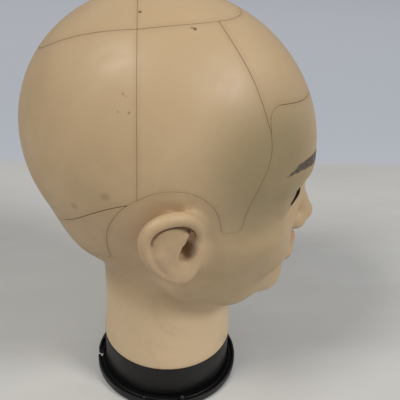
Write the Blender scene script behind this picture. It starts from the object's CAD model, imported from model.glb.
"""Looks of the mannequin training head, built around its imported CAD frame."""

import math
import random

import bpy
import numpy as np
from mathutils import Matrix, Vector


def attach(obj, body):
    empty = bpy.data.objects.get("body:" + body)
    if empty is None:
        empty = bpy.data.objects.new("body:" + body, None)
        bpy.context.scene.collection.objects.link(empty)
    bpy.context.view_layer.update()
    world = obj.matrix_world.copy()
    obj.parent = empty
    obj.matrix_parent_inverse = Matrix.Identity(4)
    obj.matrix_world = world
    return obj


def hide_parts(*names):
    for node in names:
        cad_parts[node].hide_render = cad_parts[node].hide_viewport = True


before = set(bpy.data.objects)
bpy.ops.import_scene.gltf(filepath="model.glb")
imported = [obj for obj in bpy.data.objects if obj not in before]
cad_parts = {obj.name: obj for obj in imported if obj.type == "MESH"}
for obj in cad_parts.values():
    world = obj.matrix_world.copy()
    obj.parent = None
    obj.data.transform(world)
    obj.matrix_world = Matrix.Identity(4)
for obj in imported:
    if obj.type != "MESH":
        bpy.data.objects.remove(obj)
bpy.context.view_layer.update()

# ================= form =================
# Lengths in this section are millimetres, in the CAD frame: +Z up, the face looks along -Y.

SKULL_CENTRE = np.array([0.0, 0.8, 197.6])
SKULL_HALF = np.array([75.4, 95.0, 88.2])
SKULL_TILT = math.radians(34)
NECK_FOOT = 33.6
CORONAL_Y = 21.0
CROWN_CENTRE_Y = 18.5
CROWN_HALF = (34.5, 56.5)
WALL = 4.0


def length(v):
    """Lengths of vectors held in the last axis."""
    return np.sqrt((v * v).sum(-1))


def union(a, b, blend):
    """Smooth union of two distance fields."""
    h = np.clip(0.5 + 0.5 * (b - a) / blend, 0, 1)
    return b + (a - b) * h - blend * h * (1 - h)


def cut(a, b, blend):
    """Field a with field b smoothly taken out of it."""
    return -union(-a, b, blend)


def tilted(p, centre, angle):
    """Points about a centre, turned back by an angle about X."""
    q = p - np.asarray(centre, float)
    c, s = math.cos(angle), math.sin(angle)
    return np.stack([q[..., 0], c * q[..., 1] + s * q[..., 2], -s * q[..., 1] + c * q[..., 2]], -1)


def ellipsoid(p, centre, half, angle=0.0):
    """Near distance to an ellipsoid of three half sizes, turned about X."""
    q = tilted(p, centre, angle)
    half = np.asarray(half, float)
    outer = length(q / half)
    return outer * (outer - 1) / np.maximum(length(q / half**2), 1e-6)


def rod(p, points, radii):
    """A chain of tapered round rods through points."""
    best = np.full(p.shape[:-1], 1e9)
    for i in range(len(points) - 1):
        a, b = np.asarray(points[i], float), np.asarray(points[i + 1], float)
        along = b - a
        t = np.clip(((p - a) @ along) / (along @ along), 0, 1)
        radius = radii[i] + (radii[i + 1] - radii[i]) * t
        best = np.minimum(best, length(p - a - t[..., None] * along) - radius)
    return best


def mirrored(p):
    """Points folded onto the head's left half, where x is positive."""
    return np.stack([np.abs(p[..., 0]), p[..., 1], p[..., 2]], -1)


def skull(p):
    """The plain egg of the skull."""
    return ellipsoid(p, SKULL_CENTRE, SKULL_HALF, SKULL_TILT)


def neck(p):
    """The round neck, a little narrower higher up."""
    z = p[..., 2]
    rise = np.clip((z - NECK_FOOT) / 30, 0, 1)
    radius = 46.7 - 1.6 * rise * rise * (3 - 2 * rise)
    return np.maximum(np.hypot(p[..., 0], p[..., 1]) - radius, z - 140)


def plain_head(p):
    """Head and neck without ears, nose or eyes."""
    q = mirrored(p)
    face = ellipsoid(q, (0, -25, 146), (65, 57.5, 66), math.radians(8))
    jaw = rod(q, [(43, -10, 121), (34, -38, 106), (12, -58, 95)], [17, 16, 14])
    chin = ellipsoid(q, (0, -68.3, 91.8), (18, 13, 15))
    lower_cheek = ellipsoid(q, (27, -60, 129), (17, 16, 15))
    cheekbone = ellipsoid(q, (41, -51, 150), (16, 17, 14))
    nape = ellipsoid(q, (0, 38, 148), (46, 31, 34))
    f = union(union(skull(p), face, 14), jaw, 14)
    f = union(union(union(f, chin, 12), lower_cheek, 12), cheekbone, 12)
    towards_back = np.clip(p[..., 1] / 40, 0, 1)
    return union(union(f, nape, 16), neck(p), 9 + 9 * towards_back)


def rounded(points):
    """An open line of points with its corners cut back twice over."""
    points = np.array(points, float)
    for _ in range(2):
        a, b = points[:-1], points[1:]
        cuts = np.stack([0.75 * a + 0.25 * b, 0.25 * a + 0.75 * b], 1).reshape(-1, points.shape[1])
        points = np.concatenate([points[:1], cuts, points[-1:]])
    return points


EAR_CENTRE = np.array([80.0, 2.4, 163.0])
EAR_SIZE = 1.07
EAR_FLARE = math.radians(20)
EAR_RIM = rounded([  # u, v, w and radius
    (-11.5, 0, -2, 1.6), (-14.4, 4.2, 0, 2.5), (-16, 9.5, 1.6, 3.1), (-14.6, 16, 2.6, 3.6),
    (-10, 21.2, 3, 3.8), (-4.6, 23.4, 3, 3.9), (1.4, 23.8, 2.8, 3.9), (7.4, 23, 2.6, 3.8),
    (12.8, 19.8, 2.2, 3.6), (15.4, 14.2, 1.8, 3.4), (15.2, 8, 1.4, 3.2), (13.2, 1.4, 1, 3),
    (10.2, -5, 0.4, 2.8), (6, -11, 0, 2.7), (1, -15.8, -0.6, 2.8), (-4.6, -18, -0.8, 3),
])
EAR_FOLD = rounded([  # the crease under the rim
    (-11.8, 7.6, 3, 1.1), (-11.4, 11.6, 3, 1.4), (-9.4, 15.6, 3, 1.5), (-4.6, 18.6, 2.9, 1.4),
    (1, 19.6, 2.8, 1.3), (7, 18, 2.6, 1.1), (11, 13.4, 2.4, 0.7), (12, 8, 2.2, 0.3),
])
EAR_REACH = 42.0


def ear_plane(q):
    """Points in the ear's own plane: u towards the back, v up, w outwards."""
    r = q - EAR_CENTRE
    c, s = math.cos(EAR_FLARE), math.sin(EAR_FLARE)
    return np.stack([s * r[:, 0] + c * r[:, 1], r[:, 2], c * r[:, 0] - s * r[:, 1]], -1) / EAR_SIZE


def ear(q):
    """The outer ear."""
    e = ear_plane(q)
    plate = ellipsoid(e, (1, 4, -2.2), (14, 19, 4.6))
    root = ellipsoid(e, (-6, -2, -7.5), (12, 19, 7))
    lobe = ellipsoid(e, (-7.4, -16.5, -1.4), (8.6, 6.8, 4))
    swell = ellipsoid(e, (1.4, 7, -0.8), (12.8, 14.4, 5.2))
    ridge = rod(e, [(6.4, 2, 0.4), (4, -5, 0.2), (0.5, -11, 0)], [3.4, 3, 2.4])
    bowl = ellipsoid(e, (-8.6, -0.4, 1.6), (4.1, 6.8, 9))
    bowl_top = ellipsoid(e, (-10.6, 7.6, 2.4), (2.2, 4.4, 4))
    rim_root = rod(e, [(-9.2, 12.2, 1.4), (-6.4, 11, 2.4), (-2.4, 9.6, 2.2)], [1.3, 1.9, 1.8])
    flap = ellipsoid(e, (-14.8, -7, -3.8), (3.2, 8, 4))
    f = union(union(union(union(plate, root, 5), lobe, 6), swell, 3), ridge, 4)
    f = union(f, rod(e, EAR_RIM[:, :3], EAR_RIM[:, 3]), 1.1)
    f = cut(f, rod(e, EAR_FOLD[:, :3], EAR_FOLD[:, 3]), 0.9)
    f = cut(cut(f, bowl, 1.8), bowl_top, 1.4)
    return union(union(f, rim_root, 1.6), flap, 5) * EAR_SIZE


EYE = np.array([32.5, -64.8, 174.0])
SOCKET = ((34, -86, 167), (21, 17, 15))  # centre and half sizes of what is taken out of the face
EYE_TURN = 0.25  # backwards and upwards for each mm outwards
EYE_RISE = 0.1
EYEBALL = (19.6, 11.6, 12.6)
LID = (22.0, 13.0, 13.4)
SLIT = (14.8, 11.0, 4.0)
UPPER_LIP = [(0, -84.2, 120.4), (5, -84, 121.2), (13, -82, 119.8), (22.5, -78, 116.8)]
LOWER_LIP = [(0, -82.8, 112.2), (9, -82, 112.6), (18, -79.4, 114.4)]
MOUTH = [(0, -88, 116.6), (12, -86, 116.8), (24, -80, 115.6)]


def lining(p):
    """The head without its small features, which the inside of the skin follows."""
    q = mirrored(p)
    return cut(plain_head(p), ellipsoid(q, *SOCKET), 8)


def eye_space(q):
    """Points with the slant of the eye taken out, so that the eye is upright and square to the front."""
    x = q[..., 0] - EYE[0]
    return np.stack([q[..., 0], q[..., 1] - EYE_TURN * x, q[..., 2] - EYE_RISE * x], -1)


def lid_line(count):
    """Points along the edge of the upper lid, from the inner to the outer corner of the left eye."""
    t = np.linspace(-0.96, 0.98, count)
    x, z = SLIT[0] * t, SLIT[2] * np.sqrt(1 - t * t) - 1.2
    y = -LID[1] * np.sqrt(1 - (x / LID[0]) ** 2 - (z / LID[2]) ** 2)
    return EYE + np.stack([x, y + EYE_TURN * x, z + EYE_RISE * x], -1)


def face_details(f, q):
    """Brow, eyes, nose and lips worked into the head's field f."""
    brow_ridge = rod(q, [(12, -78.5, 189), (30, -76, 193), (46, -62.5, 190)], [6, 6.5, 6])
    f = union(f, brow_ridge, 10)
    f = cut(f, ellipsoid(q, *SOCKET), 8)
    e = eye_space(q)
    lids = cut(ellipsoid(e, EYE, LID), ellipsoid(e, EYE + (0, -13, -1.2), SLIT), 0.6)
    f = union(f, lids, 3)
    f = np.minimum(f, ellipsoid(e, EYE, EYEBALL))
    bridge = [(0, -72.6, 177), (0, -78.6, 165), (0, -87.6, 150), (0, -90.4, 141)]
    nose_tip = ellipsoid(q, (0, -90.2, 139.5), (7, 6.8, 6))
    nose_wing = ellipsoid(q, (8.6, -85, 136), (5.2, 6.4, 5.2))
    nostril = ellipsoid(q, (5, -88.4, 131.4), (2.6, 4, 3))
    f = union(f, rod(q, bridge, [5.5, 5.2, 5.8, 6.4]), 8)
    f = cut(union(union(f, nose_tip, 5), nose_wing, 5), nostril, 1.4)
    f = union(f, rod(q, UPPER_LIP, [3.4, 3.6, 3, 1.8]), 4)
    f = union(f, rod(q, LOWER_LIP, [4.2, 4, 2.4]), 6)
    return cut(f, rod(q, MOUTH, [0.7, 0.7, 0.6]), 1.4)


def head(p):
    """Signed distance to the whole head, in mm, negative inside."""
    p = np.atleast_2d(p)
    f = plain_head(p)
    q = mirrored(p)
    near_ear = length(q - EAR_CENTRE) < EAR_REACH
    if near_ear.any():
        near = q[near_ear]
        forward = np.clip((EAR_CENTRE[1] - 5 - near[:, 1]) / 9, 0, 1)
        low = np.clip((168 - near[:, 2]) / 8, 0, 1)
        f[near_ear] = union(f[near_ear], ear(near), 3 + 3 * forward + 5 * forward * low)
    near_face = (p[:, 1] < -48) & (p[:, 2] < 210)
    if near_face.any():
        f[near_face] = face_details(f[near_face], q[near_face])
    return f


# ---- seams: side outline of the hair-bearing area, as (y, z), walked from the forehead to the nape ----
HAIRLINE = [
    (-130, 217), (-79, 233), (-60, 239), (-55.5, 239), (-52.8, 237), (-52, 233), (-54.5, 214), (-48, 198),
    (-41.5, 184), (-39.5, 170.5), (-37.6, 168.8), (-29.5, 168), (-27.2, 169.6), (-25.6, 180), (-22, 189),
    (-15, 196.4), (-8, 200), (0, 201.5), (8, 200.8), (15, 198), (23, 193), (30, 186.6), (35.5, 177),
    (38.6, 166), (39.4, 154), (38.4, 143), (37, 134), (140, 134),
]
FRINGE_SEAM = [(-21, 281), (-31, 270), (-41, 256), (-47, 243), (-51.6, 230)]
NAPE_SEAM = [(0, 148), (20, 150), (35, 155.5), (51, 166), (62, 177), (76, 195)]


HAIRLINE = rounded(HAIRLINE)
FRINGE_SEAM = rounded(FRINGE_SEAM)
NAPE_SEAM = rounded(NAPE_SEAM)


def beside(u, v, outline):
    """Signed distance from points to an open outline, positive to the left of its direction."""
    best, side = np.full(u.shape, 1e9), np.zeros(u.shape)
    for (u0, v0), (u1, v1) in zip(outline[:-1], outline[1:]):
        du, dv = u1 - u0, v1 - v0
        t = np.clip(((u - u0) * du + (v - v0) * dv) / (du * du + dv * dv), 0, 1)
        gap = np.hypot(u - u0 - t * du, v - v0 - t * dv)
        cross = du * (v - v0) - dv * (u - u0)
        closer = gap < best - 1e-9
        best = np.where(closer, gap, best)
        side = np.where(closer, np.sign(cross), side)
    return best * side


def seam_fields(p):
    """Signed distances to each seam, positive on the side named."""
    x, y, z = p[:, 0], p[:, 1], p[:, 2]
    half_y = np.where(y > CROWN_CENTRE_Y, CROWN_HALF[1] + 3, CROWN_HALF[1])
    oy = (y - CROWN_CENTRE_Y) / half_y
    half_x = CROWN_HALF[0] * (1 - 0.16 * np.clip(oy, 0, 1))
    ox = x / half_x
    reach = np.hypot(ox, oy)
    slope = np.hypot(ox / half_x, oy / half_y)
    crown = reach * (1 - reach) / np.maximum(slope, 1e-6)
    return {
        "scalp": beside(y, z, HAIRLINE),
        "crown": np.where(z > 215, crown, -50),
        "front": CORONAL_Y - y,
        "fringe": beside(y, z, FRINGE_SEAM[::-1]),
        "nape": -beside(np.abs(x), z, NAPE_SEAM),
        "right": -x,
    }


# ---- meshing ----
GRID_LOW = np.array([-95.0, -106.0, 26.0])
GRID_HIGH = np.array([95.0, 102.0, 292.0])
BLOCK = 6


def sample_head(cell):
    """The head's field on a dense grid, worked out only near the surface."""
    blocks = np.ceil((GRID_HIGH - GRID_LOW) / (cell * BLOCK)).astype(int)
    middles = [GRID_LOW[i] + (np.arange(blocks[i]) + 0.5) * cell * BLOCK for i in range(3)]
    centres = np.stack(np.meshgrid(*middles, indexing="ij"), -1).reshape(-1, 3)
    near = np.abs(head(centres)) < 1.35 * cell * BLOCK
    values = np.full(blocks * BLOCK + 1, np.nan)
    corners = np.stack(np.meshgrid(*[np.arange(BLOCK + 1)] * 3, indexing="ij"), -1).reshape(-1, 3)
    first = np.argwhere(near.reshape(blocks)) * BLOCK
    index = (first[:, None] + corners[None]).reshape(-1, 3)
    flat = np.unique(np.ravel_multi_index(index.T, values.shape))
    index = np.stack(np.unravel_index(flat, values.shape), -1)
    for part in np.array_split(np.arange(len(flat)), max(1, len(flat) // 200000)):
        values.reshape(-1)[flat[part]] = head(GRID_LOW + index[part] * cell)
    return values


def surface_net(values, cell):
    """Vertices and quads of the zero surface of a grid of values."""
    inside = values < 0
    known = ~np.isnan(values)
    shape = np.array(values.shape) - 1
    steps = [(a, b) for a in range(8) for b in range(8) if b > a and bin(a ^ b).count("1") == 1]

    def view(grid, corner):
        i, j, k = corner & 1, corner >> 1 & 1, corner >> 2 & 1
        return grid[i : i + shape[0], j : j + shape[1], k : k + shape[2]]

    mixed = np.zeros(shape, bool)
    whole = np.ones(shape, bool)
    for corner in range(8):
        mixed |= view(inside, corner) != view(inside, 0)
        whole &= view(known, corner)
    cells = np.argwhere(mixed & whole)
    total, crossings = np.zeros((len(cells), 3)), np.zeros(len(cells))
    for a, b in steps:
        pa = cells + [a & 1, a >> 1 & 1, a >> 2 & 1]
        pb = cells + [b & 1, b >> 1 & 1, b >> 2 & 1]
        va, vb = values[tuple(pa.T)], values[tuple(pb.T)]
        hit = (va < 0) != (vb < 0)
        t = np.where(hit, va / np.where(hit, va - vb, 1), 0)
        total += np.where(hit[:, None], pa + t[:, None] * (pb - pa), 0)
        crossings += hit
    verts = GRID_LOW + total / crossings[:, None] * cell
    number = np.full(shape, -1)
    number[tuple(cells.T)] = np.arange(len(cells))
    quads = []
    for axis in range(3):
        step = np.eye(3, dtype=int)[axis]
        low = inside[tuple(slice(0, n - s) for n, s in zip(inside.shape, step))]
        high = inside[tuple(slice(s, n) for n, s in zip(inside.shape, step))]
        edges = np.argwhere(low != high)
        o1, o2 = np.eye(3, dtype=int)[(axis + 1) % 3], np.eye(3, dtype=int)[(axis + 2) % 3]
        around = [edges, edges - o1, edges - o1 - o2, edges - o2]
        fits = np.all([(c >= 0).all(1) & (c < shape).all(1) for c in around], axis=0)
        quad = np.stack([number[tuple(c[fits].T)] for c in around], 1)
        flip = ~low[tuple(edges[fits].T)]
        quad[flip] = quad[flip][:, ::-1]
        quads.append(quad[(quad >= 0).all(1)])
    return verts, np.concatenate(quads)


def gradient(field, p, step=0.35):
    """Unit gradient of a field at points."""
    g = np.stack([field(p + step * e) - field(p - step * e) for e in np.eye(3)], -1)
    return g / np.maximum(length(g)[:, None], 1e-9)


def settle(field, p, level=0.0, rounds=3):
    """Points moved along the field's gradient onto one of its level surfaces."""
    for _ in range(rounds):
        value = field(p) - level
        p = p - np.clip(value, -6, 6)[:, None] * gradient(field, p)
    return p


def relax(verts, quads, rounds):
    """Evens out the mesh along the surface."""
    edges = np.concatenate([quads[:, [i, (i + 1) % 4]] for i in range(4)])
    for _ in range(rounds):
        total, count = np.zeros_like(verts), np.zeros(len(verts))
        for a, b in ((0, 1), (1, 0)):
            np.add.at(total, edges[:, a], verts[edges[:, b]])
            np.add.at(count, edges[:, a], 1)
        verts = verts + 0.5 * (total / np.maximum(count, 1)[:, None] - verts)
        verts = settle(head, verts, rounds=1)
    return verts


def build_head(cell):
    """The whole surface of the head and neck as points and triangles."""
    values = sample_head(cell)
    verts, quads = surface_net(values, cell)
    verts = settle(head, relax(verts, quads, 2), rounds=2)
    split = length(verts[quads[:, 0]] - verts[quads[:, 2]]) < length(verts[quads[:, 1]] - verts[quads[:, 3]])
    a, b = quads[split], quads[~split]
    tris = np.concatenate([a[:, [0, 1, 2]], a[:, [0, 2, 3]], b[:, [0, 1, 3]], b[:, [1, 2, 3]]])
    return verts, tris


# ---- pieces of the surface, each a closed shell with rounded edges ----
SEAM_HALF = 0.035
EDGE_RADIUS = 0.22
FOOT_EDGE = 1.2


def directed_edges(tris):
    """The three edges of every triangle, each in its triangle's direction."""
    return np.concatenate([tris[:, [0, 1]], tris[:, [1, 2]], tris[:, [2, 0]]])


def clip(verts, tris, keep):
    """The part of a surface where keep is positive."""
    state = keep > 0
    whole = state[tris].all(1)
    mixed = state[tris].any(1) & ~whole
    new_points, new_index, extra = [], {}, []

    def crossing(a, b):
        key = (min(a, b), max(a, b))
        if key not in new_index:
            t = keep[a] / (keep[a] - keep[b])
            new_index[key] = len(verts) + len(new_points)
            new_points.append(verts[a] + t * (verts[b] - verts[a]))
        return new_index[key]

    for tri in tris[mixed]:
        count = int(state[tri].sum())
        while state[tri[0]] != (count == 1):
            tri = np.roll(tri, -1)
        a, b, c = (int(i) for i in tri)
        ab, ac = crossing(a, b), crossing(a, c)
        extra += [(a, ab, ac)] if count == 1 else [(ab, b, c), (ab, c, ac)]
    tris = np.concatenate([tris[whole], np.array(extra, int).reshape(-1, 3)])
    used = np.unique(tris)
    number = np.full(len(verts) + len(new_points), -1)
    number[used] = np.arange(len(used))
    return np.concatenate([verts, np.array(new_points).reshape(-1, 3)])[used], number[tris]


def open_edges(tris):
    """The edges of a surface that only one triangle uses, in that triangle's direction."""
    edges = directed_edges(tris)
    start, end = edges.T
    base = tris.max() + 1
    return edges[~np.isin(start * base + end, end * base + start)]


def shell(verts, tris, bounds_of, unfolded=False):
    """A closed shell of the surface inside a region, with rounded rims and an inner wall.

    Where it is unfolded, the inner wall passes straight under ears, nose and lips.
    """
    for i in range(len(bounds_of(verts))):
        verts, tris = clip(verts, tris, bounds_of(verts)[i] - SEAM_HALF - EDGE_RADIUS)
    rim = open_edges(tris)

    def keep_field(p):
        return np.minimum.reduce(bounds_of(p))

    edge = np.unique(rim)
    verts[edge] = settle(head, verts[edge], rounds=1)
    normals = gradient(head, verts)
    inner = verts - WALL * normals
    if unfolded:
        loose = lining(verts) > 0.7
        for _ in range(6):
            loose[tris[loose[tris].any(1)]] = True
        loose[edge] = False
        inner = settle(lining, inner, -WALL, rounds=6)
        inner = unfold(inner, tris, loose, -WALL)
    inner = settle(lining, inner, -WALL, rounds=3)
    slope = gradient(keep_field, verts[edge], 0.5)
    side = -(slope - (slope * normals[edge]).sum(1)[:, None] * normals[edge])
    side /= np.maximum(length(side)[:, None], 1e-6)
    radius = np.where(verts[edge, 2] < NECK_FOOT + 8, FOOT_EDGE, EDGE_RADIUS)[:, None]
    rings = []
    for turn in (22.5, 45, 67.5, 90):
        a = math.radians(turn)
        rings.append(verts[edge] + radius * (math.sin(a) * side - (1 - math.cos(a)) * normals[edge]))
    order = np.full(len(verts), -1)
    order[edge] = np.arange(len(edge))
    start = [len(verts) + i * len(edge) for i in range(len(rings))]
    inner_start = start[-1] + len(edge)
    rows = [rim] + [order[rim] + s for s in start] + [rim + inner_start]
    walls = []
    for low, high in zip(rows[:-1], rows[1:]):
        walls.append(np.stack([low[:, 1], low[:, 0], high[:, 0]], 1))
        walls.append(np.stack([low[:, 1], high[:, 0], high[:, 1]], 1))
    points = np.concatenate([verts] + rings + [inner])
    faces = np.concatenate([tris] + walls + [tris[:, ::-1] + inner_start])
    return points, faces, len(verts)


def unfold(points, tris, loose, level):
    """Evens out the loose points over one level of the lining, the others held."""
    links = np.unique(directed_edges(tris), axis=0)
    links = links[loose[links[:, 0]]]
    count = np.maximum(np.bincount(links[:, 0], minlength=len(points)), 1)[:, None]
    active = np.unique(links[:, 0])
    start, end = links.T
    for step in range(240):
        total = [np.bincount(start, points[end, k], len(points)) for k in range(3)]
        points[active] = (np.stack(total, -1) / count)[active]
        if step % 20 == 19:
            points[active] = settle(lining, points[active], level, rounds=1)
    return points


# ================= pieces =================
CELL = 1.35
BROW = [(13, 0, 193.6), (22, 0, 196.2), (34, 0, 198.6), (45, 0, 199.6), (54, 0, 198)]
PUPIL_SHIFT = (-0.8, -0.6)
FAR = 20.0


def piece(name, verts, faces, body, slot, material, replaced=(), attributes=None, sharp=40):
    """A mesh object from millimetre points, riding on a body."""
    mesh = bpy.data.meshes.new(name)
    mesh.from_pydata((np.asarray(verts) * 0.001).tolist(), [], [list(map(int, f)) for f in faces])
    mesh.update()
    mesh.shade_smooth()
    mesh.set_sharp_from_angle(angle=math.radians(sharp))
    for label, values in (attributes or {}).items():
        layer = mesh.attributes.new(label, "FLOAT", "POINT")
        layer.data.foreach_set("value", np.asarray(values, np.float32))
    mesh.materials.append(material)
    made = bpy.data.objects.new(name, mesh)
    bpy.context.scene.collection.objects.link(made)
    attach(made, body)
    if replaced:
        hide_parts(*replaced)
    return made


def region(name):
    """The fields that bound one piece of the surface, all positive inside it."""

    def bounds_of(p):
        s = seam_fields(p)
        if name == "face_neck_skin":
            return [-s["scalp"], p[:, 2] - NECK_FOOT - FOOT_EDGE + EDGE_RADIUS]
        if name == "crown_front_panel":
            return [s["crown"], s["front"]]
        if name == "crown_back_panel":
            return [s["crown"], -s["front"]]
        if name == "fringe_panel":
            return [s["scalp"], s["fringe"], -s["crown"], s["front"]]
        if name == "back_panel":
            return [s["scalp"], -s["crown"], -s["front"], -s["nape"]]
        if name == "nape_panel":
            return [s["scalp"], -s["crown"], -s["front"], s["nape"]]
        side = s["right"] if name.endswith("right") else -s["right"]
        return [s["scalp"], -s["crown"], s["front"], -s["fringe"], side]

    return bounds_of


def paint(p):
    """Distances in mm to the painted shapes of the face and the ear's crease."""
    q = mirrored(p)
    flat = q * (1, 0, 1)
    front = np.where(p[:, 1] < -50, 0.0, FAR)
    upper_lip = rod(q, UPPER_LIP, [3.2, 3.4, 2.8, 1.5])
    lower_lip = rod(q, LOWER_LIP, [3.8, 3.6, 2.2])
    pupil = EYE[[0, 2]] + PUPIL_SHIFT
    return {
        "fold": rod(ear_plane(q), EAR_FOLD[:, :3], EAR_FOLD[:, 3]),
        "brow": rod(flat, BROW, [2.6, 3.2, 3.2, 2.4, 0.3]) + front,
        "lid": rod(q, lid_line(9), np.linspace(0.3, 0.9, 9)) + front,
        "lip": np.minimum(upper_lip, lower_lip) + front,
        "mouth": rod(q, MOUTH, [0.8, 0.8, 1.0]) + front,
        "eye": np.abs(ellipsoid(eye_space(q), EYE, EYEBALL)) + front,
        "gaze": np.hypot(q[:, 0] - pupil[0], q[:, 2] - pupil[1]) + front,
    }


def hollowness(points, faces, count):
    """How far the outer surface dips below its surroundings, in 1/mm, for its first count points."""
    used = faces[(faces < count).all(1)]
    normal = np.zeros((count, 3))
    turn = np.cross(points[used[:, 1]] - points[used[:, 0]], points[used[:, 2]] - points[used[:, 0]])
    links = np.unique(directed_edges(used), axis=0)
    share = np.maximum(np.bincount(links[:, 0], minlength=count), 1)
    mean = np.zeros((count, 3))
    for k in range(3):
        for i in range(3):
            normal[:, k] += np.bincount(used[:, i], turn[:, k], count)
        mean[:, k] = np.bincount(links[:, 0], points[links[:, 1], k], count) / share
    normal /= np.maximum(length(normal)[:, None], 1e-9)
    dip = ((mean - points[:count]) * normal).sum(1) * 4 / CELL**2
    for _ in range(2):
        dip = 0.5 * dip + 0.5 * np.bincount(links[:, 0], dip[links[:, 1]], count) / share
    whole = np.zeros(len(points))
    whole[:count] = dip
    return whole


# ================= materials =================


class Graph:
    """A material's node tree, with short names for the nodes used here."""

    def __init__(self, name, **constants):
        self.material = bpy.data.materials.new(name)
        self.material.use_nodes = True
        self.tree = self.material.node_tree
        self.shader = next(n for n in self.tree.nodes if n.type == "BSDF_PRINCIPLED")
        for label, value in constants.items():
            self.shader.inputs[label.replace("_", " ")].default_value = value
        self.place = self.add("ShaderNodeTexCoord").outputs["Object"]

    def add(self, kind, settings=None, **inputs):
        made = self.tree.nodes.new(kind)
        for label, value in (settings or {}).items():
            setattr(made, label, value)
        for label, value in inputs.items():
            self.put(made.inputs[int(label[1:]) if label[0] == "i" and label[1:].isdigit() else label], value)
        return made

    def put(self, socket, value):
        if isinstance(value, bpy.types.NodeSocket):
            self.tree.links.new(value, socket)
        else:
            socket.default_value = value

    def noise(self, scale, detail=2.0, rough=0.5, warp=0.0, stretch=None):
        place = self.place
        if stretch:
            place = self.add("ShaderNodeMapping", None, Vector=place, Scale=stretch).outputs[0]
        shape = {"Scale": scale, "Detail": detail, "Roughness": rough, "Distortion": warp}
        return self.add("ShaderNodeTexNoise", None, Vector=place, **shape).outputs["Fac"]

    def remap(self, value, low, high, out_low=0.0, out_high=1.0):
        made = self.add("ShaderNodeMapRange", {"interpolation_type": "SMOOTHSTEP"})
        for i, v in enumerate((value, low, high, out_low, out_high)):
            self.put(made.inputs[i], v)
        return made.outputs[0]

    def math(self, kind, a, b=0.0):
        made = self.add("ShaderNodeMath", {"operation": kind})
        self.put(made.inputs[0], a)
        self.put(made.inputs[1], b)
        return made.outputs[0]

    def mix(self, factor, a, b):
        made = self.add("ShaderNodeMix", {"data_type": "RGBA"})
        self.put(made.inputs[0], factor)
        self.put(made.inputs[6], a)
        self.put(made.inputs[7], b)
        return made.outputs[2]

    def attribute(self, name):
        return self.add("ShaderNodeAttribute", {"attribute_name": name}).outputs["Fac"]

    def axis(self, index):
        return self.add("ShaderNodeSeparateXYZ", None, Vector=self.place).outputs[index]

    def spot(self, centre, core, rim, strength=1.0):
        """A soft round mark at a millimetre point of the head."""
        made = self.add("ShaderNodeVectorMath", {"operation": "DISTANCE"})
        self.put(made.inputs[0], self.place)
        self.put(made.inputs[1], [c * 0.001 for c in centre])
        return self.remap(made.outputs["Value"], core * 0.001, rim * 0.001, strength, 0.0)

    def bump(self, height, strength, distance):
        made = self.add("ShaderNodeBump", None, Height=height, Strength=strength, Distance=distance)
        before = self.shader.inputs["Normal"]
        if before.is_linked:
            self.put(made.inputs["Normal"], before.links[0].from_socket)
        self.put(before, made.outputs[0])


def colour(r, g, b):
    """Linear colour from 0-255 screen values."""
    return (*(((c / 255 + 0.055) / 1.055) ** 2.4 if c > 10 else c / 3295 for c in (r, g, b)), 1.0)


MARKS = [  # centre, solid radius, faded radius, strength
    ((-23.5, 19.5, 282.4), 0.7, 1.3, 0.85),
    ((-33.0, -9.7, 277.3), 0.6, 1.5, 0.8),
    ((-32.6, -8.0, 277.6), 0.3, 1.1, 0.7),
    ((-58.0, 28.0, 250.5), 0.3, 1.0, 0.45),
    ((-59.4, 26.6, 249.8), 0.3, 0.9, 0.4),
    ((-63.3, 24.9, 242.2), 0.4, 1.0, 0.5),
    ((-62.0, 30.6, 242.0), 0.2, 0.9, 0.4),
    ((-68.7, 38.5, 193.7), 0.5, 4.5, 0.28),
    ((-57.3, 57.1, 180.1), 0.5, 4.0, 0.25),
]


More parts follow.
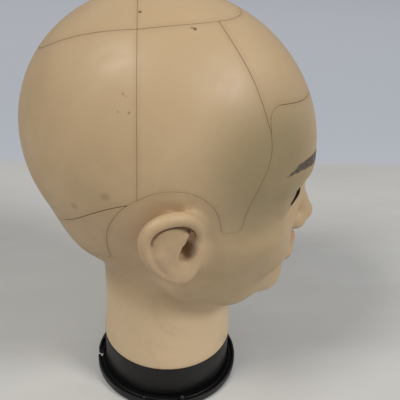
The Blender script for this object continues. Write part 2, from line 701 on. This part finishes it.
def vinyl(name, face):
    """Handled tan vinyl, darker round the temples, with a painted face where asked for."""
    g = Graph(name, Roughness=0.46, Subsurface_Weight=0.1, Subsurface_Scale=0.004, Specular_IOR_Level=0.42)
    g.shader.inputs["Subsurface Radius"].default_value = (1.0, 0.55, 0.3)
    broad = g.noise(11, 3, 0.55, 0.6)
    middle = g.noise(46, 4, 0.6, 0.4)
    fine = g.noise(420, 3, 0.6)
    base = g.mix(g.remap(broad, 0.35, 0.66), colour(191, 163, 125), colour(198, 170, 132))
    base = g.mix(g.math("MULTIPLY", g.remap(middle, 0.42, 0.72), 0.3), base, colour(186, 156, 118))
    height = g.axis(2)
    base = g.mix(g.remap(height, 0.1, 0.072, 0.0, 0.9), base, colour(222, 194, 156))
    grime = g.remap(g.noise(17, 4, 0.65, 1.2), 0.46, 0.7)
    grime = g.math("MULTIPLY", grime, g.remap(height, 0.262, 0.2, 0.0, 0.3))
    base = g.mix(grime, base, colour(170, 150, 112))
    handled = g.math("MAXIMUM", g.spot((-62, -58, 206), 16, 64, 0.8), g.spot((-58, -42, 128), 4, 44, 0.4))
    handled = g.math("MULTIPLY", handled, g.remap(broad, 0.2, 0.7, 0.75, 1.0))
    base = g.mix(handled, base, colour(132, 118, 84))
    specks = g.math("MULTIPLY", g.remap(g.noise(900, 1, 0.4), 0.77, 0.82), 0.3)
    base = g.mix(specks, base, colour(120, 92, 66))
    for centre, core, rim, strength in MARKS:
        base = g.mix(g.spot(centre, core, rim, strength), base, colour(96, 66, 44))
    edge = g.attribute("edge")
    base = g.mix(g.remap(edge, 0.06, 0.34, 0.3, 0.0), base, colour(124, 96, 66))
    base = g.mix(g.remap(edge, 0.4, 3.5, 0.14, 0.0), base, colour(150, 118, 82))
    rough = g.remap(middle, 0.3, 0.7, 0.4, 0.54)
    if face:
        hollow = g.attribute("hollow")
        base = g.mix(g.remap(hollow, 0.15, 1.0, 0.0, 0.75), base, colour(142, 98, 66))
        fold = g.remap(g.attribute("fold"), 0.0, 0.7, 0.8, 0.0)
        base = g.mix(fold, base, colour(92, 62, 38))
        for side in (-1, 1):
            base = g.mix(g.spot((side * 76.5, -7, 162.6), 4, 8.5, 0.75), base, colour(92, 68, 44))
        ear_tint = g.math("MAXIMUM", g.spot((-84, 2, 164), 18, 36, 0.1), g.spot((84, 2, 164), 18, 36, 0.1))
        base = g.mix(ear_tint, base, colour(208, 158, 124))
        lip = g.attribute("lip")
        base = g.mix(g.remap(lip, -0.6, 0.5, 0.75, 0.0), base, colour(186, 122, 98))
        base = g.mix(g.remap(g.attribute("mouth"), -0.5, 0.6, 0.7, 0.0), base, colour(84, 48, 38))
        eye = g.attribute("eye")
        gaze = g.attribute("gaze")
        on_eye = g.remap(eye, 0.06, 0.2, 1.0, 0.0)
        base = g.mix(on_eye, base, colour(226, 220, 208))
        iris = g.mix(g.remap(gaze, 2.2, 6.0), colour(96, 62, 36), colour(52, 32, 20))
        iris = g.mix(g.remap(gaze, 2.1, 2.5, 1.0, 0.0), iris, colour(12, 10, 10))
        base = g.mix(g.math("MULTIPLY", on_eye, g.remap(gaze, 5.8, 6.2, 1.0, 0.0)), base, iris)
        brow = g.attribute("brow")
        strokes = g.noise(1.0, 3, 0.6, 0.3, stretch=(260, 260, 1500))
        shade = g.mix(g.remap(strokes, 0.35, 0.65), colour(46, 34, 28), colour(98, 84, 74))
        ragged = g.math("ADD", brow, g.remap(strokes, 0.2, 0.8, -0.5, 0.5))
        base = g.mix(g.remap(ragged, -0.7, 0.3, 0.92, 0.0), base, shade)
        lid = g.attribute("lid")
        base = g.mix(g.remap(lid, -0.2, 0.45, 0.95, 0.0), base, colour(34, 24, 20))
        rough = g.math("SUBTRACT", rough, g.math("MULTIPLY", on_eye, 0.28))
    g.put(g.shader.inputs["Base Color"], base)
    g.put(g.shader.inputs["Roughness"], rough)
    g.bump(g.noise(60, 5, 0.62), 0.14, 0.0006)
    g.bump(fine, 0.16, 0.00012)
    scratch = g.noise(1.0, 2, 0.5, 0.2, stretch=(900, 60, 60))
    g.bump(g.remap(scratch, 0.7, 0.74), -0.12, 0.00008)
    return g.material


def tinted(base, factor, lift=0.0):
    """A colour made lighter or darker."""
    return tuple(min(1, c * factor + lift) for c in base[:3]) + (1,)


def plastic(name, base, rough, dust=0.25, grain=900.0, tick=False, **more):
    """Moulded plastic with dust, worn edges and a fine grain."""
    g = Graph(name, **more)
    cloud = g.noise(34, 5, 0.65, 0.8)
    dusty = g.math("MULTIPLY", g.remap(cloud, 0.45, 0.75), dust)
    tone = g.mix(dusty, base, tinted(base, 1.6, 0.02))
    scuffs = g.remap(g.noise(1.0, 3, 0.6, 0.5, stretch=(70, 70, 700)), 0.68, 0.76)
    tone = g.mix(g.math("MULTIPLY", scuffs, dust * 0.5), tone, tinted(base, 2, 0.04))
    specks = g.remap(g.noise(1300, 1, 0.4), 0.74, 0.8)
    tone = g.mix(g.math("MULTIPLY", specks, dust), tone, (0.35, 0.33, 0.3, 1))
    if tick:
        tone = g.mix(g.spot((-47.2, 17.8, 6.0), 0.7, 1.2, 0.55), tone, colour(150, 148, 150))
    g.put(g.shader.inputs["Base Color"], tone)
    g.put(g.shader.inputs["Roughness"], g.remap(cloud, 0.3, 0.75, rough - 0.06, rough + 0.1))
    g.bump(g.noise(grain, 2, 0.5), 0.18, 0.0001)
    g.bump(g.noise(90, 4, 0.6), 0.08, 0.0004)
    return g.material


def metal(name, base, rough, turned=0.0):
    """Metal with handling marks and fine turning lines."""
    g = Graph(name, Metallic=1.0)
    cloud = g.noise(120, 5, 0.65, 0.6)
    g.put(g.shader.inputs["Base Color"], g.mix(g.remap(cloud, 0.35, 0.75), base, tinted(base, 0.72)))
    g.put(g.shader.inputs["Roughness"], g.remap(cloud, 0.3, 0.75, rough - 0.06, rough + 0.12))
    g.bump(g.noise(1.0, 3, 0.6, 0.0, stretch=(300, 300, 5200)), 0.1 + turned, 0.00008)
    return g.material


def floor_material():
    """A warm pale table that passes into a cooler, bluish grey far behind the head."""
    g = Graph("table_top", Roughness=0.55, Specular_IOR_Level=0.3)
    x = g.axis(0)
    grain = g.noise(9, 5, 0.6, 0.4, stretch=(1, 0.35, 1))
    near = g.mix(g.remap(grain, 0.35, 0.7), TABLE_LIGHT, TABLE_DARK)
    pores = g.math("MULTIPLY", g.remap(g.noise(700, 2, 0.5), 0.66, 0.74), 0.12)
    near = g.mix(pores, near, colour(120, 116, 110))
    far = g.mix(g.remap(x, 0.31, 0.9), WALL_LOW, WALL_HIGH)
    tone = g.mix(g.remap(x, 0.292, 0.318), near, far)
    g.put(g.shader.inputs["Base Color"], tone)
    g.bump(g.noise(260, 4, 0.6), 0.1, 0.0004)
    return g.material


TABLE_LIGHT = colour(214, 212, 206)
TABLE_DARK = colour(206, 203, 197)
WALL_LOW = colour(205, 209, 215)
WALL_HIGH = colour(228, 231, 236)

SKIN = vinyl("skin_vinyl", True)
SCALP = vinyl("scalp_vinyl", False)
BLACK = plastic("black_plastic", (0.0042, 0.0038, 0.0037, 1), 0.42, 0.1, tick=True, Specular_IOR_Level=0.34)
LOOKS = {
    "magnet": metal("nickel_magnet", (0.62, 0.6, 0.56, 1), 0.28),
    "core": plastic("core_plastic", (0.52, 0.52, 0.5, 1), 0.5, 0.2, 500.0),
    "socket": plastic("socket_nylon", (0.035, 0.035, 0.038, 1), 0.45, 0.3, 700.0),
    "steel": metal("zinc_steel", (0.5, 0.51, 0.52, 1), 0.3, 0.1),
    "acetal": plastic("acetal", (0.72, 0.71, 0.66, 1), 0.35, 0.12, 800.0),
    "rubber": plastic("foot_rubber", (0.02, 0.02, 0.02, 1), 0.75, 0.4, 600.0),
}


# ================= head and scalp =================
PANELS = {
    "crown_front_panel": ("crown_front", "scalp"),
    "crown_back_panel": ("crown_back", "scalp"),
    "fringe_panel": ("fringe", "scalp"),
    "side_panel_right": ("side_right", "scalp"),
    "side_panel_left": ("side_left", "scalp"),
    "back_panel": ("back", "scalp"),
    "nape_panel": ("nape", "scalp"),
    "face_neck_skin": ("head", "skin"),
}
surface, surface_tris = build_head(CELL)
for node, (body, slot_name) in PANELS.items():
    is_skin = slot_name == "skin"
    bounds_of = region(node)
    points, faces, outer_count = shell(surface, surface_tris, bounds_of, unfolded=is_skin)
    features = {"edge": np.minimum.reduce(bounds_of(points))}
    if is_skin:
        features.update(paint(points))
        features["hollow"] = hollowness(points, faces, outer_count)
        features["edge"] = np.where(points[:, 2] < NECK_FOOT + 12, features["edge"] + 0.6, features["edge"])
    piece(f"{node}_form", points, faces, body, slot_name, SKIN if is_skin else SCALP, [node], features)


# ================= lashes =================
def tube_faces(rows, sides):
    """Quads round a stack of rings and its two end caps."""
    faces = []
    for i in range(rows - 1):
        for k in range(sides):
            n = (k + 1) % sides
            faces.append((i * sides + k, i * sides + n, (i + 1) * sides + n, (i + 1) * sides + k))
    faces.append(tuple(reversed(range(sides))))
    faces.append(tuple((rows - 1) * sides + k for k in range(sides)))
    return faces


UP = np.array([0.0, 0.0, 1.0])
HAIR_SIDES = 4
HAIR_RINGS = 5
HAIR_THICKNESS = 0.16
BAND_SIDES = 8
BAND_THICKNESS = 0.75
BAND_OFFSET = 0.9


def hair(root, lead, reach):
    """One tapered lash that leaves its root along lead and bends upwards."""
    verts = []
    across = np.cross(lead, UP)
    across /= np.linalg.norm(across)
    for i in range(HAIR_RINGS + 1):
        t = i / HAIR_RINGS
        centre = root + reach * (t * lead + 0.75 * t * t * UP)
        along = lead + 1.5 * t * UP
        along /= np.linalg.norm(along)
        other = np.cross(along, across)
        r = HAIR_THICKNESS * (1 - 0.85 * t)
        for k in range(HAIR_SIDES):
            a = 2 * math.pi * k / HAIR_SIDES
            verts.append(centre + r * (math.cos(a) * across + math.sin(a) * other))
    return verts, tube_faces(HAIR_RINGS + 1, HAIR_SIDES)


def root_band(edge_points, outward_at):
    """The strip that the lashes grow from, tapered towards both corners of the eye."""
    verts = []
    last = len(edge_points) - 1
    for i, outward in enumerate(outward_at):
        centre = edge_points[i] + BAND_OFFSET * outward
        thick = BAND_THICKNESS * math.sin(math.pi * (0.06 + 0.88 * (i / last) ** 0.8)) ** 0.5
        for k in range(BAND_SIDES):
            a = 2 * math.pi * k / BAND_SIDES
            verts.append(centre + thick * (1.3 * math.cos(a) * outward + 0.6 * math.sin(a) * UP))
    return verts, [face[::-1] for face in tube_faces(last + 1, BAND_SIDES)]


def lashes(rng):
    """The lashes of the left eye, longer towards the outer corner."""
    edge_points = lid_line(56)
    outward_at = (edge_points - EYE) * (1, 1, 0)
    outward_at /= length(outward_at)[:, None]
    verts, faces = root_band(edge_points, outward_at)
    for i, root in enumerate(edge_points):
        t = i / (len(edge_points) - 1)
        outward = outward_at[i]
        for _ in range(2):
            stray = [rng.uniform(-0.1, 0.1) for _ in range(3)]
            lead = outward + np.array([0.35 * (t - 0.3), 0, -0.12]) + stray
            lead /= np.linalg.norm(lead)
            reach = (1.6 + 1.0 * t) * rng.uniform(0.8, 1.1)
            start = root - 0.5 * outward + np.array([rng.uniform(-0.3, 0.3), 0, rng.uniform(-0.2, 0.2)])
            hair_verts, hair_faces = hair(start, lead, reach)
            faces += [tuple(len(verts) + k for k in face) for face in hair_faces]
            verts += hair_verts
    return np.array(verts), faces


LASH = plastic("lash_fibre", (0.016, 0.012, 0.01, 1), 0.5, 0.1, 800.0)
LASH_RANDOM = random.Random(7)
for name, sign in (("right", -1), ("left", 1)):
    verts, faces = lashes(LASH_RANDOM)
    verts[:, 0] *= sign
    if sign < 0:
        faces = [face[::-1] for face in faces]
    piece(f"upper_lash_{name}_hairs", verts, faces, "head", "lash", LASH, [f"upper_lash_{name}"])


# ================= base =================
def softened(points, radius):
    """A closed profile with its corners rounded."""
    out = []
    for i, corner in enumerate(points):
        here = np.array(corner, float)
        before = np.array(points[i - 1], float) - here
        after = np.array(points[(i + 1) % len(points)], float) - here
        lb, la = np.linalg.norm(before), np.linalg.norm(after)
        a = here + before / lb * min(radius, 0.42 * lb)
        b = here + after / la * min(radius, 0.42 * la)
        for t in (0, 0.25, 0.5, 0.75, 1):
            out.append((1 - t) ** 2 * a + 2 * t * (1 - t) * here + t * t * b)
    return np.array(out)


SEGMENTS = 160


def lathe(profile):
    """A closed ring turned from a profile of (radius, height)."""
    angles = np.arange(SEGMENTS)[:, None] * 2 * math.pi / SEGMENTS
    r, z = profile[:, 0], profile[:, 1]
    x, y = (np.cos(angles) * r).ravel(), (np.sin(angles) * r).ravel()
    verts = np.stack([x, y, np.tile(z, SEGMENTS)], -1)
    n = len(profile)
    area = (np.roll(r, -1) * z - r * np.roll(z, -1)).sum()
    faces = []
    for i in range(SEGMENTS):
        j = (i + 1) % SEGMENTS
        for k in range(n):
            m = (k + 1) % n
            quad = (i * n + k, i * n + m, j * n + m, j * n + k)
            faces.append(quad if area > 0 else quad[::-1])
    return verts, faces


def pillar(centre, radius, low, high, top=0.0, segments=40):
    """A round post, its upper edge softened by top."""
    rows = [(radius, low), (radius, high - top)]
    for turn in (30, 60, 90) if top else ():
        a = math.radians(turn)
        rows.append((radius - top + top * math.cos(a), high - top + top * math.sin(a)))
    verts = []
    for r, z in rows:
        for k in range(segments):
            a = 2 * math.pi * k / segments
            verts.append((centre[0] + r * math.cos(a), centre[1] + r * math.sin(a), z))
    return np.array(verts), tube_faces(len(rows), segments)


def block(low, high):
    """A box between two corners."""
    verts = [(x, y, z) for x in (low[0], high[0]) for y in (low[1], high[1]) for z in (low[2], high[2])]
    faces = [(0, 1, 3, 2), (4, 6, 7, 5), (0, 4, 5, 1), (2, 3, 7, 6), (0, 2, 6, 4), (1, 5, 7, 3)]
    return np.array(verts, float), faces


def temporary(verts, faces):
    """An object for one boolean step, from points in mm."""
    mesh = bpy.data.meshes.new("tool")
    mesh.from_pydata((np.asarray(verts) * 0.001).tolist(), [], [list(f) for f in faces])
    made = bpy.data.objects.new("tool", mesh)
    bpy.context.scene.collection.objects.link(made)
    return made


def carved(verts, faces, steps):
    """A solid with others added or cut away, as points in mm and faces."""
    solid = temporary(verts, faces)
    tools = []
    for operation, tool in steps:
        tools.append(temporary(*tool))
        step = solid.modifiers.new("step", "BOOLEAN")
        step.operation = operation
        step.solver = "EXACT"
        step.object = tools[-1]
    result = solid.evaluated_get(bpy.context.evaluated_depsgraph_get()).to_mesh()
    out = np.array([v.co for v in result.vertices]) * 1000, [tuple(p.vertices) for p in result.polygons]
    for made in [solid, *tools]:
        mesh = made.data
        bpy.data.objects.remove(made)
        bpy.data.meshes.remove(mesh)
    return out


def round_about(radius, angle, count=3):
    """Points spaced evenly round the axis."""
    angles = [math.radians(angle + 360 * i / count) for i in range(count)]
    return [(radius * math.cos(a), radius * math.sin(a)) for a in angles]


COLLAR_PROFILE = [  # radius and height
    (15.06, 8.4), (46.7, 8.4), (46.7, 33.5), (41, 33.5), (41, 56), (23, 56), (23, 53), (38, 53),
    (38, 11.9), (20, 11.9), (20, 42.4), (15.06, 42.4),
]
collar_verts, collar_faces = lathe(softened(COLLAR_PROFILE, 0.7))
collar_steps = [("DIFFERENCE", pillar(c, 1.2, 52, 57, segments=24)) for c in round_about(33, 0, 4)]
piece(
    "neck_collar_form", *carved(collar_verts, collar_faces, collar_steps), "head", "black_plastic", BLACK,
    ["neck_collar"], sharp=30,
)

FLANGE_PROFILE = [
    (15.1, 1), (43.4, 1), (43.4, 2.4), (48.6, 2.4), (48.6, 1), (53, 1), (53, 6.8), (51.2, 6.8), (50.8, 4.8),
    (50.0, 4.8), (49.6, 6.2), (48.4, 6.2), (48.0, 4.2), (15.1, 4.2),
]
flange_verts, flange_faces = lathe(softened(FLANGE_PROFILE, 0.45))
bosses = round_about(49.7, -168)
flange_steps = [("UNION", pillar(c, 2.5, 3.2, 7.4, 0.4)) for c in bosses]
flange_steps += [("DIFFERENCE", pillar(c, 1.25, 5, 8)) for c in bosses]
flange_steps += [("DIFFERENCE", pillar(c, 1.6, 0.5, 5, segments=24)) for c in round_about(20, -108)]
flange_steps += [("DIFFERENCE", pillar((0, 0), 24.2, 0.5, 2.2, segments=SEGMENTS))]
flange_steps += [("DIFFERENCE", block((-3.5, 49.2, 0.5), (3.5, 57, 9)))]
piece(
    "base_flange_form", *carved(flange_verts, flange_faces, flange_steps), "base", "black_plastic", BLACK,
    ["base_flange"], sharp=30,
)

# ================= inner pieces =================
SLOTS = {
    "skull_core": "core",
    "clamp_socket": "socket",
    "glide_ring": "acetal",
    "thrust_washer": "acetal",
    "foot_ring": "rubber",
    "wave_spring": "steel",
    "retaining_clip": "steel",
    "boss_screws": "steel",
    "socket_screws": "steel",
    "core_screws": "steel",
}
for node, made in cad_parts.items():
    look = LOOKS["magnet"] if node.endswith("magnets") else LOOKS.get(SLOTS.get(node))
    if look is not None:
        made.data.materials.clear()
        made.data.materials.append(look)

# The eyes sink deeper than the plain face, so the core's front is hollowed behind them.
HOLLOW_CENTRE = (24, 168)
HOLLOW_RADIUS = 34
HOLLOW_DEPTH = 7.5
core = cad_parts["skull_core"]
core_points = np.array([core.matrix_world @ v.co for v in core.data.vertices]) * 1000
core_faces = [tuple(p.vertices) for p in core.data.polygons]
aside, above = np.abs(core_points[:, 0]) - HOLLOW_CENTRE[0], core_points[:, 2] - HOLLOW_CENTRE[1]
nearness = np.clip(1 - np.hypot(aside, above) / HOLLOW_RADIUS, 0, 1) * (core_points[:, 1] < -30)
core_points[:, 1] += HOLLOW_DEPTH * nearness * nearness * (3 - 2 * nearness)
piece("skull_core_form", core_points, core_faces, "head", "core", LOOKS["core"], ["skull_core"])

# ================= floor, light and camera =================
FLOOR_Z = -0.0004
LAMP_AIM = Vector((0, 0, 0.15))
CAMERA_PLACE = Vector((-0.3951, 0.0149, 0.4047))
CAMERA_AIM = Vector((0, -0.02867, 0.13746))
CAMERA_ROLL = 3.67
floor_mesh = bpy.data.meshes.new("table_top")
floor_mesh.from_pydata([(-6, -6, 0), (6, -6, 0), (6, 6, 0), (-6, 6, 0)], [], [(0, 1, 2, 3)])
floor_mesh.materials.append(floor_material())
table_top = bpy.data.objects.new("table_top", floor_mesh)
table_top.location.z = FLOOR_Z
bpy.context.scene.collection.objects.link(table_top)


def soft_light(name, place, size, power, tint):
    """A round lamp turned to the middle of the head."""
    data = bpy.data.lights.new(name, "AREA")
    data.shape = "DISK"
    data.size = size
    data.energy = power
    data.color = tint
    made = bpy.data.objects.new(name, data)
    made.location = place
    made.rotation_euler = (LAMP_AIM - Vector(place)).to_track_quat("-Z", "Y").to_euler()
    bpy.context.scene.collection.objects.link(made)


soft_light("key", (-0.55, 0.75, 1.5), 0.5, 11.4, (1.0, 0.98, 0.95))
soft_light("fill", (-0.65, -0.95, 1.25), 0.42, 11.5, (0.97, 0.98, 1.0))
world = bpy.data.worlds.new("room")
bpy.context.scene.world = world
world.use_nodes = True
sky = world.node_tree.nodes["Background"]
sky.inputs["Color"].default_value = (0.86, 0.9, 0.96, 1)
sky.inputs["Strength"].default_value = 0.3

camera_data = bpy.data.cameras.new("camera")
camera_data.lens = 62.96
camera_data.sensor_width = 36
camera_data.shift_x = -0.03
camera_data.shift_y = 0.03
camera_data.clip_start = 0.02
camera = bpy.data.objects.new("camera", camera_data)
camera.location = CAMERA_PLACE
level = (CAMERA_AIM - CAMERA_PLACE).to_track_quat("-Z", "Y").to_matrix()
camera.rotation_euler = (level @ Matrix.Rotation(math.radians(CAMERA_ROLL), 3, "Z")).to_euler()
bpy.context.scene.collection.objects.link(camera)
bpy.context.scene.camera = camera
bpy.context.scene.view_settings.view_transform = "Standard"
